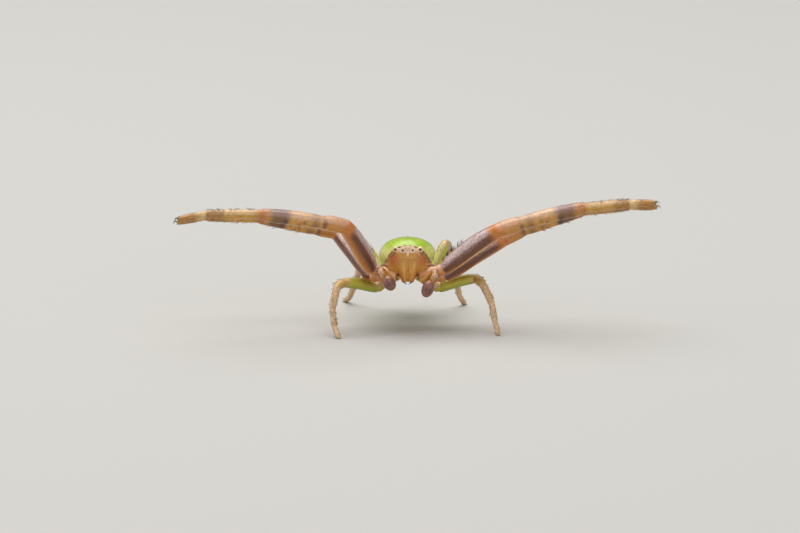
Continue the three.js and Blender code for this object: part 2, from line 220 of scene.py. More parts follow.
def keep_form(form, colours, stipple):
    count = len(form.data.vertices)
    pigment = form.data.attributes.new("Pigment", "FLOAT_COLOR", "POINT")
    colours = np.broadcast_to(colours, (count, 3))
    stipple = np.broadcast_to(stipple, (count,))
    pigment.data.foreach_set("color", np.column_stack([colours, stipple]).ravel())
    forms.append(form)


# A round form whose surface is worked out from a ball: shape(t, angle) gives each point, with
# t running from front to back and angle round the body's axis from its left side upwards.
def ball_form(shape, paint, segments=96, rings=72):
    bpy.ops.object.select_all(action="DESELECT")
    bpy.ops.mesh.primitive_uv_sphere_add(
        segments=segments, ring_count=rings, radius=1, rotation=(-math.pi / 2, 0, 0))
    bpy.ops.object.transform_apply(rotation=True)
    form = bpy.context.object
    ball = coordinates(form.data)
    t = np.clip((1 + ball[:, 1]) / 2, 0, 1)
    angle = np.arctan2(ball[:, 2], ball[:, 0])
    form.data.vertices.foreach_set("co", shape(t, angle).ravel())
    form.data.update()
    keep_form(form, *paint(t, angle, coordinates(form.data)))
    return form


# Head and carapace
# One hard shield of cuticle, steep in front where the eyes sit, widest over the second legs and
# sloping down behind. Its face is orange-brown, darker on the cheeks, with a pale forked mark.
CARAPACE_LENGTH = 1.55
CARAPACE_WIDTH = 1.64
HEAD_WIDTH = 0.94
CROWN = 0.1
CARAPACE_DEPTH = 0.84
CLYPEUS = 0.28  # eyes down to the edge above the jaws
WIDEST = 0.6  # where the shield is widest, as a share of its length
CROWN_FALL = 0.46  # from the crown to the rear edge
FURROW_AT, FURROW_DEPTH = 0.72, 0.03
FURROW_REACH = (0.06, 0.05)  # along the shield, as a share of its length, and across it


def carapace_shape(t, angle):
    swell = np.sin(np.pi / 2 * np.minimum(1, t / WIDEST))
    rear = np.maximum(0, (t - WIDEST) / (1 - WIDEST))
    front = np.minimum(1, np.sqrt(np.minimum(1, (t + 0.002) / 0.035)))
    rear_round = np.sqrt(np.maximum(0.0, 1 - rear**2.6))
    head = HEAD_WIDTH / 2
    half = (head + (CARAPACE_WIDTH / 2 - head) * swell) * rear_round * (0.8 + 0.2 * front)
    half = half * np.minimum(1, np.sqrt(t / 0.006))
    fall = np.maximum(0, (t - 0.3) / 0.7)
    top = CROWN - 0.03 * (1 - front) - CROWN_FALL * fall**2.2
    chin = np.minimum(1, t / 0.16)
    low = CROWN - CARAPACE_DEPTH
    bottom = -CLYPEUS + (low + CLYPEUS) * np.sin(np.pi / 2 * chin) + 0.16 * rear**4
    waistline = bottom + 0.3 * (top - bottom)
    across, upward = np.cos(angle), np.sin(angle)
    hollow = np.sqrt(np.maximum(0, np.sin(np.pi * np.clip(upward / 0.8, 0, 1))))
    x = np.sign(across) * np.abs(across) ** np.where(upward > 0, 1.1, 0.7) * half
    x = x * (1 - 0.16 * hollow)
    span = np.where(upward > 0, top - waistline, waistline - bottom)
    z = waistline + np.sign(upward) * np.abs(upward) ** np.where(upward > 0, 1.0, 0.7) * span
    reach = ((t - FURROW_AT) / FURROW_REACH[0]) ** 2 + (x / FURROW_REACH[1]) ** 2
    furrow = FURROW_DEPTH * np.exp(-reach) * (upward > 0)
    return on_body(x, CARAPACE_LENGTH * t, z - furrow)


def carapace_paint(t, angle, places):
    back, side = t, np.abs(places[:, 0])
    colours = np.broadcast_to(tone("#CC9038"), places.shape)
    flank = rise(side, 0.5, 0.7) * rise(back, 0.05, 0.3)
    colours = blend(colours, tone("#A8640F"), 0.7 * flank)
    hind = rise(back, 0.4, 0.85) * rise(side, 0.1, 0.35)
    colours = blend(colours, tone("#9A5A1A"), 0.5 * hind)
    turn = np.arctan2(np.sin(angle), np.abs(np.cos(angle)))
    low_edge = band(turn, -0.07, 0.03, 0.03) * rise(back, 0.06, 0.16)
    colours = blend(colours, tone("#3A1A08"), 0.75 * low_edge)
    return colours, 0.12 * flank


# The markings of the face, worked out on the finished skin, where it is fine enough for them:
# orange cheeks, a pale field round the eyes, a forked white mark and the clypeus's pale edge,
# with painted shade in the crease under that edge
def face_paint(colours, places):
    side, back, up = np.abs(places[:, 0]), places[:, 1], places[:, 2]
    front = 1 - rise(back, 0.3, 0.5)
    mound = np.hypot(side - FRONT_SIDE_EYE[0], up) < 0.09
    front = np.where((side > 0.7) | mound, 0, front)
    face = front * rise(up, -CLYPEUS - 0.04, -CLYPEUS)
    cheeks = rise(side, 0.16, 0.42) * rise(-up, 0.03, 0.2) * (1 - rise(-up, 0.3, 0.6))
    colours = blend(colours, tone("#BE640C"), 0.9 * cheeks * front)
    eye_field = rise(up, -0.14, -0.02) * (1 - rise(back, 0.2, 0.34))
    colours = blend(colours, tone("#EAC8AA"), 0.75 * eye_field * face)
    stem = np.exp(-((side / 0.022) ** 2)) * band(-up, 0.09, 0.19, 0.02)
    arms = np.exp(-(((side - 0.9 * (up + 0.12)) / 0.02) ** 2)) * band(-up, 0.04, 0.11, 0.02)
    mark = np.clip(stem + arms, 0, 1)
    colours = blend(colours, tone("#FBE4DC"), 0.8 * mark * face)
    ring = np.exp(-(((np.hypot(side - 0.15, up + 0.03) - 0.055) / 0.018) ** 2))
    colours = blend(colours, tone("#F4DCC0"), 0.7 * ring * face)
    brow = np.exp(-(((up + CLYPEUS - 0.04 - 1.2 * side**2) / 0.02) ** 2))
    colours = blend(colours, tone("#F0C890"), 0.2 * brow * (1 - rise(side, 0.1, 0.2)) * face)
    # Painted shade: a darker line in the crease just under the clypeus's edge
    crease_shade = np.exp(-(((up + CLYPEUS + 0.01 - 0.4 * side**2) / 0.014) ** 2))
    crease_shade = crease_shade * (1 - rise(side, 0.2, 0.34)) * (back < 0.3)
    return blend(colours, tone("#9A5C1C"), 0.2 * crease_shade)


carapace = ball_form(carapace_shape, carapace_paint)

# Eye mounds
# Each of the eight eyes stands on a low pale swelling, and the four side eyes on the largest.
# The rear middle pair look up and back and the rear side pair outwards, so that from in front
# only their swellings show.
EYES = {  # across, back, up, radius of the lens and radius of the mound
    "front_middle": (0.15, 0.01, -0.03, 0.031, 0.054),
    "front_side": (*FRONT_SIDE_EYE, 0.04, 0.098),
    "rear_middle": (0.158, 0.285, 0.1, 0.029, 0.055),
    "rear_side": (0.415, 0.36, 0.0, 0.037, 0.08),
}
EYE_BACKS = {  # where each mound lies from its lens: inward, behind and below, in mound radii
    "front_middle": (0, 0.8, 0),
    "front_side": (0, 0.8, 0),
    "rear_middle": (0, -0.6, 0.25),
    "rear_side": (0.8, 0.1, 0.3),
}
SIDES = {"left": 1, "right": -1}


def mound_paint(t, angle, places):
    return np.broadcast_to(tone("#E8C694"), places.shape), 0.0


for name, (across, back, up, _, mound) in EYES.items():
    inward, behind, below = np.array(EYE_BACKS[name]) * mound
    for side in SIDES.values():
        def mound_shape(t, angle):
            ring = np.sqrt(np.maximum(0, 1 - (2 * t - 1) ** 2)) * mound
            return on_body(
                side * (across - inward) + np.cos(angle) * ring,
                back + behind + (2 * t - 1) * mound,
                up - below + np.sin(angle) * ring)

        ball_form(mound_shape, mound_paint, 32, 24)

# Abdomen
# A soft egg, blunt in front and fullest behind the middle. Its skin is bright green above and
# paler at the sides, with a darker stripe down the middle and four dimples on its back.
WAIST = 0.12
ABDOMEN_FRONT = CARAPACE_LENGTH + WAIST
ABDOMEN_LENGTH = 2.06
ABDOMEN_WIDTH = 1.72
ABDOMEN_DEPTH = 1.24
ABDOMEN_TOP = 0.33
DIMPLES = ((0.17, 0.34), (0.24, 0.52))  # across, and share of the length


def abdomen_shape(t, angle):
    egg = np.sqrt(np.maximum(0, 1 - np.abs(2 * t - 1) ** 2.25))
    lean = 1 + 0.16 * np.sin(np.pi * t) * (t - 0.35)
    upward = np.sin(angle)
    flat_top = np.where(upward > 0, np.abs(upward) ** 0.9, upward)
    x = np.cos(angle) * ABDOMEN_WIDTH / 2 * egg * lean
    level = ABDOMEN_TOP - ABDOMEN_DEPTH / 2 - 0.1 * t * t
    z = level + flat_top * ABDOMEN_DEPTH / 2 * egg
    for across, share in DIMPLES:
        reach = ((np.abs(x) - across) / 0.035) ** 2 + ((t - share) / 0.018) ** 2
        z = z - 0.022 * np.exp(-reach) * (upward > 0)
    return on_body(x, ABDOMEN_FRONT + ABDOMEN_LENGTH * t, z)


def abdomen_paint(t, angle, places):
    upward = np.sin(angle)
    side = np.abs(places[:, 0])
    colours = np.broadcast_to(tone("#A6C20C"), places.shape)
    colours = blend(colours, tone("#E8E490"), rise(-upward, -0.72, -0.2))
    colours = blend(colours, tone("#B4C860"), rise(-upward, 0.2, 0.8))
    heart = np.exp(-((side / 0.06) ** 2)) * band(t, 0.12, 0.6, 0.08) * (upward > 0)
    colours = blend(colours, tone("#74B010"), 0.5 * heart)
    for across, share in DIMPLES:
        reach = ((side - across) / 0.045) ** 2 + ((t - share) / 0.024) ** 2
        colours = blend(colours, tone("#4E7A10"), 0.7 * np.exp(-reach) * (upward > 0))
    colours = blend(colours, tone("#B8903C"), rise(t, 0.93, 1.0) * 0.6)
    return colours, 0.0


ball_form(abdomen_shape, abdomen_paint)

# Limbs
# A limb is a round bar drawn through its joints, thinner at each joint and fullest a little
# nearer the body than its middle. It is a curve with a thickness at each point.
FULLEST = 0.45  # where each segment is fullest, as a share of the way along it


# widths has each segment's fullest thickness, shares its thickness at its two ends as shares of
# that, and bows how far its middle is arched upwards
def limb_path(joints, widths, shares, bows, steps=26):
    places, radii = [], []
    for i, (start, end) in enumerate(zip(joints[:-1], joints[1:])):
        way = (end - start) / np.linalg.norm(end - start)
        level = np.cross([0, 0, 1], way)
        upward = np.cross(way, level / max(1e-6, np.linalg.norm(level)))
        for k in range(steps + (i == len(widths) - 1)):
            t = k / steps
            share = shares[i][0] if t < FULLEST else shares[i][1]
            reach = 1 - t / FULLEST if t < FULLEST else (t - FULLEST) / (1 - FULLEST)
            radii.append(widths[i] / 2 * (1 - (1 - share) * reach**3))
            places.append(start + (end - start) * t + upward * bows[i] * math.sin(math.pi * t))
    return np.array(places), np.array(radii)


def tube(places, radii, sides=32):
    bpy.ops.object.select_all(action="DESELECT")
    bpy.ops.curve.primitive_nurbs_path_add()
    curve = bpy.context.object
    curve.data.splines.clear()
    spline = curve.data.splines.new("POLY")
    spline.points.add(len(places) - 1)
    for point, place, radius in zip(spline.points, places, radii):
        point.co = (*place, 1)
        point.radius = radius
    curve.data.bevel_depth = 1
    curve.data.bevel_resolution = sides // 4 - 1
    curve.data.use_fill_caps = True
    bpy.ops.object.convert(target="MESH")
    form = bpy.context.object
    bpy.ops.object.mode_set(mode="EDIT")
    bpy.ops.mesh.select_all(action="SELECT")
    bpy.ops.mesh.remove_doubles(threshold=1e-4)
    bpy.ops.mesh.normals_make_consistent(inside=False)
    bpy.ops.object.mode_set(mode="OBJECT")
    return form


FACING = np.array([0, -0.55, 0.835])  # a limb's top side: up and a little forward


# Where each point of a limb lies: its segment, the share of the way along it, and how far it
# looks upward, from -1 underneath to 1 on top
def on_limb(places, joints):
    nearest = np.full(len(places), np.inf)
    segment = np.zeros(len(places), int)
    along = np.zeros(len(places))
    upward = np.zeros(len(places))
    for i, (start, end) in enumerate(zip(joints[:-1], joints[1:])):
        way = end - start
        t = np.clip((places - start) @ way / (way @ way), 0, 1)
        offset = places - start - t[:, None] * way
        distance = np.linalg.norm(offset, axis=1)
        closer = distance < nearest - 1e-6
        unit = way / np.linalg.norm(way)
        crest = FACING - unit * (unit @ FACING)
        crest = crest / max(1e-6, np.linalg.norm(crest))
        nearest[closer] = distance[closer]
        segment[closer] = i
        along[closer] = t[closer]
        upward[closer] = (offset @ crest / np.maximum(distance, 1e-6))[closer]
    return segment, along, upward


# Legs
# The two front pairs are long and stout, raised to grasp: their thighs are brown above and
# orange below, their shanks golden with dark rings. The two hind pairs stand, green to tan.
FEMUR, PATELLA, TIBIA, METATARSUS, TARSUS = range(5)
LEG_LENGTHS = {
    1: (2.0, 0.77, 1.97, 1.64, 0.86),
    2: (2.1, 0.7, 1.87, 1.64, 0.88),
    3: (1.2, 0.36, 0.72, 0.58, 0.44),
    4: (1.3, 0.42, 1.2, 1.02, 0.48),
}
LEG_WIDTHS = {
    1: (0.56, 0.47, 0.44, 0.31, 0.22),
    2: (0.5, 0.43, 0.41, 0.3, 0.22),
    3: (0.35, 0.28, 0.23, 0.19, 0.17),
    4: (0.35, 0.28, 0.23, 0.19, 0.17),
}
LEG_STARTS = {
    1: (1.1, 0.32, -0.66),
    2: (1.12, 0.75, -1.0),
    3: (0.94, 1.16, -1.45),
    4: (0.74, 1.46, -1.22),
}
COXA_ROOTS = {1: (0.36, 0.36), 2: (0.4, 0.71), 3: (0.36, 1.02), 4: (0.28, 1.3)}
COXA_WIDTHS = {1: 0.4, 2: 0.38, 3: 0.31, 4: 0.3}
COXA_TAPER = 0.92
COXA_SHARES = ((0.84, 0.82), (0.84, 0.84))
COXA_BEND = 0.7  # how far along it lies its one joint
COXA_DROP = 0.1  # from the shield's lower edge
POSES = {  # forward turn and rise of each segment, in degrees, from straight out sideways
    (1, "left"): ((7, 37), (-3, 18), (2, 14), (34, 11), (32, 7)),
    (1, "right"): ((55, 49), (23, 15), (16, 10), (13, 3), (14, -8)),
    (2, "left"): ((-4, 32), (10, 28), (4, 19), (31, 11), (25, 3)),
    (2, "right"): ((-55, 30), (28, 14), (16, 14), (13, 4), (7, -10)),
    (3, "left"): ((12, 18), (55, -19), (55, -47), (70, -62), (65, None)),
    (3, "right"): ((32, 15), (56, -8), (70, -56), (105, -64), (115, None)),
    (4, "left"): ((-66, 43), (-74, -18), (-74, -56), (-70, -58), (-66, None)),
    (4, "right"): ((-67, 30), (-74, -22), (-72, -48), (-68, -50), (-66, None)),
}
BOWS = (0.05, 0.01, 0.02, 0, 0)
FOOT_FLAT = 0.03
ROOT_SHARE, JOINT_SHARE, TIP_SHARE = 0.72, 0.8, 0.45  # thickness there, of the fullest


def leg_joints(pair, side, turns):
    tip = LEG_WIDTHS[pair][TARSUS] / 2 * TIP_SHARE
    joints = [np.array(LEG_STARTS[pair]) * (side, 1, 1)]
    for (turn, lift), length in zip(turns, LEG_LENGTHS[pair]):
        drop = FLOOR + tip - FOOT_FLAT - joints[-1][2]
        lift = math.asin(drop / length) if lift is None else math.radians(lift)
        turn = math.radians(turn)
        step = (side * math.cos(turn) * math.cos(lift), -math.sin(turn) * math.cos(lift))
        joints.append(joints[-1] + length * np.array((*step, math.sin(lift))))
    return np.array(joints)


def front_leg_paint(segment, t, upward):
    count = len(t)
    top = rise(upward, -0.12, 0.22)
    # crest is each segment's top ridge: the pale pinkish colours blended there below are painted
    # highlight, partly the leg's own pale hairs
    crest = rise(upward, 0.5, 0.9)
    femur = blend(np.broadcast_to(tone("#BC700C"), (count, 3)), tone("#6E3412"), top)
    femur = blend(femur, tone("#E8BC70"), 0.65 * np.exp(-(((upward + 0.22) / 0.07) ** 2)))
    femur = blend(femur, tone("#DCA030"), 0.6 * (1 - rise(upward, -0.85, -0.45)))
    # Painted highlight, partly pale hairs: a pinkish-white sheen along the top of the thigh
    femur = blend(femur, tone("#E0C4C0"), 0.75 * rise(upward, 0.7, 0.97))
    femur = blend(femur, tone("#C8761A"), rise(t, 0.84, 0.98))
    # Painted highlight, partly the knee's own pale pinkish spots: its upper half paler
    patella = blend(np.broadcast_to(tone("#C4800F"), (count, 3)), tone("#C8884E"), 0.5 * top)
    patella = blend(patella, tone("#C8701A"), 1 - rise(t, 0.05, 0.3))
    # Painted highlight, partly the knee's pale pinkish spots: a pinkish-white crest on its top
    patella = blend(patella, tone("#E8C4AE"), 0.4 * crest)
    patella = blend(patella, tone("#4A240C"), 0.7 * band(t, 0.9, 1.2, 0.04) * (1 - 0.6 * crest))
    # Painted highlight: the shank's upper half paler
    tibia = blend(np.broadcast_to(tone("#CA8C1C"), (count, 3)), tone("#D4A05C"), 0.5 * top)
    smudge = band(t, 0.07, 0.19, 0.03) * (0.45 + 0.55 * np.cos(3 * upward) ** 2)
    # Painted highlight: a pinkish-white line along the top of the shank
    tibia = blend(tibia, tone("#E8CAB4"), 0.45 * crest)
    tibia = blend(tibia, tone("#5E300C"), 0.7 * smudge * (1 - 0.6 * crest))
    for spot_at, level in ((0.3, 0.25), (0.39, -0.1)):
        reach = ((t - spot_at) / 0.018) ** 2 + ((upward - level) / 0.25) ** 2
        tibia = blend(tibia, tone("#2E1608"), 0.9 * np.exp(-reach))
    tibia = blend(tibia, tone("#6A3C18"), 0.85 * band(t, 0.57, 0.84, 0.06))
    edge = band(t, 0.56, 0.64, 0.03) * (1 - rise(upward, 0.2, 0.8))
    tibia = blend(tibia, tone("#341808"), 0.8 * edge)
    # Painted highlight: a greyish-pink sheen on top of the dark ring
    tibia = blend(tibia, tone("#A08078"), 0.6 * band(t, 0.54, 0.86, 0.05) * crest)
    tibia = blend(tibia, tone("#B8702C"), 0.9 * rise(t, 0.8, 0.96))
    # Painted highlight: the metatarsus paler along its top
    metatarsus = blend(np.broadcast_to(tone("#CC9838"), (count, 3)), tone("#E8CCA4"), 0.5 * crest)
    metatarsus = blend(metatarsus, tone("#C08038"), 1 - rise(t, 0.02, 0.14))
    metatarsus = blend(metatarsus, tone("#96601F"), 0.65 * band(t, 0.68, 1.2, 0.07))
    tarsus = blend(np.broadcast_to(tone("#DEBC7C"), (count, 3)), tone("#B47C2C"), rise(t, 0.1, 0.5))
    whole = np.stack([femur, patella, tibia, metatarsus, tarsus])
    stipple = np.choose(segment, [0.9 * top * (1 - rise(t, 0.8, 0.97)), 0.2, 0.4, 0.35, 0.2])
    return whole[segment, np.arange(count)], stipple


def hind_leg_paint(pair):
    def paint(segment, t, upward):
        top = rise(upward, -0.3, 0.6)
        green = tone("#90A418") if pair == 3 else tone("#9CB83C")
        femur = blend(np.broadcast_to(green, (len(t), 3)), tone("#D0BC40"), 0.7 * top)
        femur = blend(femur, tone("#6A4A18"), 0.5 * rise(upward, 0.85, 1.0))
        femur = blend(femur, tone("#CCA868"), rise(t, 0.82, 1.0))
        patella = np.broadcast_to(tone("#C8A45C"), (len(t), 3))
        # Painted highlight: the hind shanks and feet paler on top
        tibia = blend(np.broadcast_to(tone("#CC9E5C"), (len(t), 3)), tone("#E4C09C"), 0.6 * top)
        foot = blend(np.broadcast_to(tone("#CEA26A"), (len(t), 3)), tone("#E6C6A4"), 0.5 * top)
        whole = np.stack([femur, patella, tibia, foot, foot])
        return whole[segment, np.arange(len(t))], np.choose(segment, [0.1, 0.3, 0.6, 0.6, 0.4])

    return paint


legs = {}
for (pair, side_name), turns in POSES.items():
    side = SIDES[side_name]
    joints = leg_joints(pair, side, turns)
    widths = LEG_WIDTHS[pair]
    shares = [(ROOT_SHARE, JOINT_SHARE)]
    for before, width in zip(widths, widths[1:]):
        shares.append((min(1, JOINT_SHARE * before / width), JOINT_SHARE))
    shares[TARSUS] = (shares[TARSUS][0], TIP_SHARE)
    places, radii = limb_path(joints, widths, shares, BOWS)
    legs[pair, side_name] = (joints, places, radii)
    form = tube(places, radii)
    paint = front_leg_paint if pair < 3 else hind_leg_paint(pair)
    keep_form(form, *paint(*on_limb(coordinates(form.data), joints)))

    across, back = COXA_ROOTS[pair]
    root = on_body(side * across, back, CROWN - CARAPACE_DEPTH - COXA_DROP)
    coxa = np.array([root, root + (joints[0] - root) * COXA_BEND, joints[0]])
    width = COXA_WIDTHS[pair]
    places, radii = limb_path(coxa, (width, width * COXA_TAPER), COXA_SHARES, (0, 0), 6)
    form = tube(places, radii)
    colours = tone("#CE8028") if pair < 3 else tone("#C0A838")
    colours = np.broadcast_to(colours, (len(form.data.vertices), 3))
    # Painted highlight: the tops of the coxae paler and pinkish over their own orange
    upward = on_limb(coordinates(form.data), coxa)[2]
    keep_form(form, blend(colours, tone("#E4B494"), 0.6 * rise(upward, 0.2, 0.9)), 0.15)

# Underside and waist
# A pale heart-shaped plate lies between the leg bases, and a narrow stalk joins the two halves.
STERNUM_FRONT = 0.34
STERNUM_LENGTH = 0.92
STERNUM_HALF_WIDTH = 0.34
STERNUM_HALF_DEPTH = 0.14
STERNUM_DROP = 0.08  # from the shield's lower edge
WAIST_RADIUS = 0.13


def sternum_shape(t, angle):
    ring = np.sqrt(np.maximum(0, 1 - (2 * t - 1) ** 2))
    x = np.cos(angle) * STERNUM_HALF_WIDTH * ring * (1 - 0.25 * (2 * t - 1))
    z = CROWN - CARAPACE_DEPTH - STERNUM_DROP + np.sin(angle) * STERNUM_HALF_DEPTH * ring
    return on_body(x, STERNUM_FRONT + STERNUM_LENGTH * t, z)


def plain_paint(code):
    return lambda t, angle, places: (np.broadcast_to(tone(code), places.shape), 0.1)


ball_form(sternum_shape, plain_paint("#CFA850"), 48, 32)
waist = np.array([
    on_body(0, CARAPACE_LENGTH - 0.3, -0.42), on_body(0, CARAPACE_LENGTH + WAIST + 0.4, -0.38)])
keep_form(tube(waist, np.array([WAIST_RADIUS, WAIST_RADIUS])), tone("#A86A24"), 0.1)

# Spinnerets
# Four short blunt cones in a tuft under the tip of the abdomen.
SPINNERETS = ((0.09, 0), (-0.09, 0), (0.07, -0.13), (-0.07, -0.13))  # across, and up
SPINNERET_WIDTH = 0.15
for across, drop in SPINNERETS:
    ends = np.array([
        on_body(across * 0.6, ABDOMEN_FRONT + ABDOMEN_LENGTH - 0.22, -0.42 + drop),
        on_body(across, ABDOMEN_FRONT + ABDOMEN_LENGTH + 0.12, -0.44 + drop)])
    places, radii = limb_path(ends, (SPINNERET_WIDTH,), ((1, 0.6),), (0,), 6)
    keep_form(tube(places, radii), tone("#B49A4C"), 0.2)

# Jaws
# Two stout golden-orange uprights side by side under the face, bulging where they leave the
# head and narrowing to the fangs.
CHELICERA_LENGTH = 0.78
CHELICERA_WIDTH = 0.4
CHELICERA_TAPER = 0.56  # how much of its width is lost by its end
for side in SIDES.values():
    top = on_body(side * CHELICERA_WIDTH / 2, 0.25, -0.18)
    foot = on_body(side * 0.09, 0.1, -0.2 - CHELICERA_LENGTH)
    steps = np.linspace(0, 1, 12)
    places = top + (foot - top) * steps[:, None]
    radii = CHELICERA_WIDTH / 2 * (1 - CHELICERA_TAPER * steps**1.5)
    form = tube(places, radii, 28)
    height = coordinates(form.data)[:, 2]
    colours = np.broadcast_to(tone("#D0943C"), (len(height), 3))
    colours = blend(colours, tone("#C07A1C"), rise(-height, 0.5, 1.0))
    keep_form(form, colours, 0.15)

# Palps
# A male's palps: a short arm of three parts, and a swollen glossy bulb of purplish brown that
# hangs beside the jaws. The left one hangs lower than the right.
PALPS = {
    "left": ((0.42, -0.14, -0.98), (0.78, -0.22, -0.62), (0.83, -0.38, -0.7), (0.71, -0.42, -0.86),
             (0.5, -0.46, -1.36)),
    "right": ((-0.42, -0.14, -0.98), (-0.78, -0.2, -0.56), (-0.82, -0.36, -0.6),
              (-0.7, -0.4, -0.74), (-0.42, -0.46, -1.14)),
}
PALP_WIDTH = 0.2
BULB_RADIUS = 0.185
palp_arms = {}
for side_name, joints in PALPS.items():
    joints = np.array(joints)
    places, radii = limb_path(
        joints[:4], (PALP_WIDTH,) * 3, ((JOINT_SHARE, JOINT_SHARE),) * 3, (0, 0, 0), 6)
    palp_arms[side_name] = (places, radii)
    form = tube(places, radii)
    colours = np.broadcast_to(tone("#C8841E"), (len(form.data.vertices), 3))
    outer = rise(np.abs(coordinates(form.data)[:, 0]), 0.7, 0.8)
    keep_form(form, blend(colours, tone("#D2A684"), outer), 0.2)
    steps = (1 - np.cos(np.linspace(0, np.pi, 22))) / 2
    places = joints[3] + (joints[4] - joints[3]) * steps[:, None]
    radii = BULB_RADIUS * np.maximum(0.02, 1 - np.abs(2 * steps - 1) ** 2.3) ** 0.5
    form = tube(places, radii, 24)
    height = (coordinates(form.data) - joints[3]) @ (joints[4] - joints[3])
    height = height / np.sum((joints[4] - joints[3]) ** 2)
    colours = np.broadcast_to(tone("#8A5644"), (len(height), 3))
    colours = blend(colours, tone("#A87440"), 1 - rise(height, 0.0, 0.25))
    colours = blend(colours, tone("#5A3430"), 0.6 * band(height, 0.4, 0.7, 0.1))
    keep_form(form, colours, 0.2)

# Skin
# The forms are drawn into one closed cuticle, glossy all over, with fine dark stipple on the
# thighs. On the spider it is thin and hard on the legs and head, and soft over the joints and
# abdomen.
VOXEL = 0.028
FACE_BACK, FACE_SIDE, FACE_LOW = 0.6, 0.8, -1.1  # what is divided more finely
SOFTENINGS = 2
GRAIN, PIT = 0.09, 0.045
bpy.ops.object.select_all(action="DESELECT")
for form in forms:
    form.select_set(True)
bpy.context.view_layer.objects.active = carapace
bpy.ops.object.join()
skin = bpy.context.object
skin.name = "skin"
skin.data.remesh_voxel_size = VOXEL
skin.data.use_remesh_preserve_attributes = True
skin.data.use_remesh_fix_poles = False
bpy.ops.object.voxel_remesh()
places = coordinates(skin.data)
near_face = (places[:, 1] < FACE_BACK) & (np.abs(places[:, 0]) < FACE_SIDE) & (places[:, 2] > FACE_LOW)
bpy.ops.object.mode_set(mode="EDIT")
bpy.ops.mesh.select_mode(type="VERT")
bpy.ops.mesh.select_all(action="DESELECT")
bpy.ops.object.mode_set(mode="OBJECT")
skin.data.vertices.foreach_set("select", near_face)
bpy.ops.object.mode_set(mode="EDIT")
bpy.ops.mesh.subdivide(number_cuts=1)
bpy.ops.object.mode_set(mode="OBJECT")
relax = skin.modifiers.new("relax", "SMOOTH")
relax.factor = 0.5
relax.iterations = 3
bpy.ops.object.modifier_apply(modifier=relax.name)
bpy.ops.object.shade_smooth()
edges = np.empty(len(skin.data.edges) * 2, int)
skin.data.edges.foreach_get("vertices", edges)
edges = edges.reshape(-1, 2)
pigment_data = skin.data.attributes["Pigment"].data
colours = np.empty(len(skin.data.vertices) * 4)
pigment_data.foreach_get("color", colours)
colours = colours.reshape(-1, 4)
for _ in range(SOFTENINGS):  # soften the steps that the drawing-over leaves between colours
    sums, counts = colours.copy(), np.ones((len(colours), 1))
    for here, there in ((0, 1), (1, 0)):
        np.add.at(sums, edges[:, here], colours[edges[:, there]])
        np.add.at(counts, edges[:, here], 1)
    colours = sums / counts
colours[:, :3] = face_paint(colours[:, :3], coordinates(skin.data))
pigment_data.foreach_set("color", colours.ravel())

cuticle, shader = new_material("spider cuticle")
pigment = add_node(cuticle, "ShaderNodeAttribute", {"attribute_name": "Pigment"})
place = add_node(cuticle, "ShaderNodeTexCoord").outputs["Object"]
# Grains about 0.09 mm apart vary the colour, and pits half as far apart carry the dark stipple
grain = add_node(cuticle, "ShaderNodeTexNoise", Vector=place, Scale=1 / (GRAIN * MM), Detail=3.0)
pits = add_node(cuticle, "ShaderNodeTexVoronoi", Vector=place, Scale=1 / (PIT * MM))
spot = add_node(
    cuticle, "ShaderNodeMapRange", Value=pits.outputs["Distance"],
    **{"From Min": 0.22, "From Max": 0.4, "To Min": 1.0, "To Max": 0.0})
amount = add_node(
    cuticle, "ShaderNodeMath", {"operation": "MULTIPLY"},
    _0=spot.outputs["Result"], _1=pigment.outputs["Alpha"])
vary = add_node(
    cuticle, "ShaderNodeMapRange", Value=grain.outputs["Fac"],
    **{"From Min": 0.3, "From Max": 0.7, "To Min": 0.86, "To Max": 1.14})
toned = add_node(
    cuticle, "ShaderNodeMix", {"data_type": "RGBA", "blend_type": "MULTIPLY"},
    _0=1.0, _6=pigment.outputs["Color"], _7=vary.outputs["Result"])
stippled = add_node(
    cuticle, "ShaderNodeMix", {"data_type": "RGBA"},
    _0=amount.outputs["Value"], _6=toned.outputs[2], _7=rgba("#2A1208"))
link(cuticle, stippled.outputs[2], shader.inputs["Base Color"])
bump = add_node(
    cuticle, "ShaderNodeBump", Height=pits.outputs["Distance"],
    **{"Strength": 0.25, "Distance": 0.008 * MM})
link(cuticle, bump.outputs["Normal"], shader.inputs["Normal"])
set_inputs(shader, {
    "Roughness": 0.4, "IOR": 1.53, "Coat Weight": 0.5, "Coat Roughness": 0.18,
    "Subsurface Weight": 0.2, "Subsurface Radius": (1.0, 0.5, 0.2), "Subsurface Scale": 0.12 * MM})
skin.data.materials.clear()
skin.data.materials.append(cuticle)
hard = ("eye_", "fang_")
settle(skin, "carapace", *[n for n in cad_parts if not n.startswith(hard)])

# Eyes
# Eight small round lenses like drops of black glass, each set in the top of its mound.
lens_glass = plain_material(
    "black eye lens", "#120806", {"Roughness": 0.05, "IOR": 1.45, "Coat Weight": 0.6})
for name, (across, back, up, lens, _) in EYES.items():
    for side_name, side in SIDES.items():
        bpy.ops.object.select_all(action="DESELECT")
        bpy.ops.mesh.primitive_uv_sphere_add(
            segments=32, ring_count=20, radius=lens, location=on_body(side * across, back, up))
        eye = bpy.context.object
        eye.name = f"lens_{name}_{side_name}"
        bpy.ops.object.transform_apply(location=True)
        bpy.ops.object.shade_smooth()
        eye.data.materials.append(lens_glass)
        settle(eye, "eye", f"eye_{name}_{side_name}")

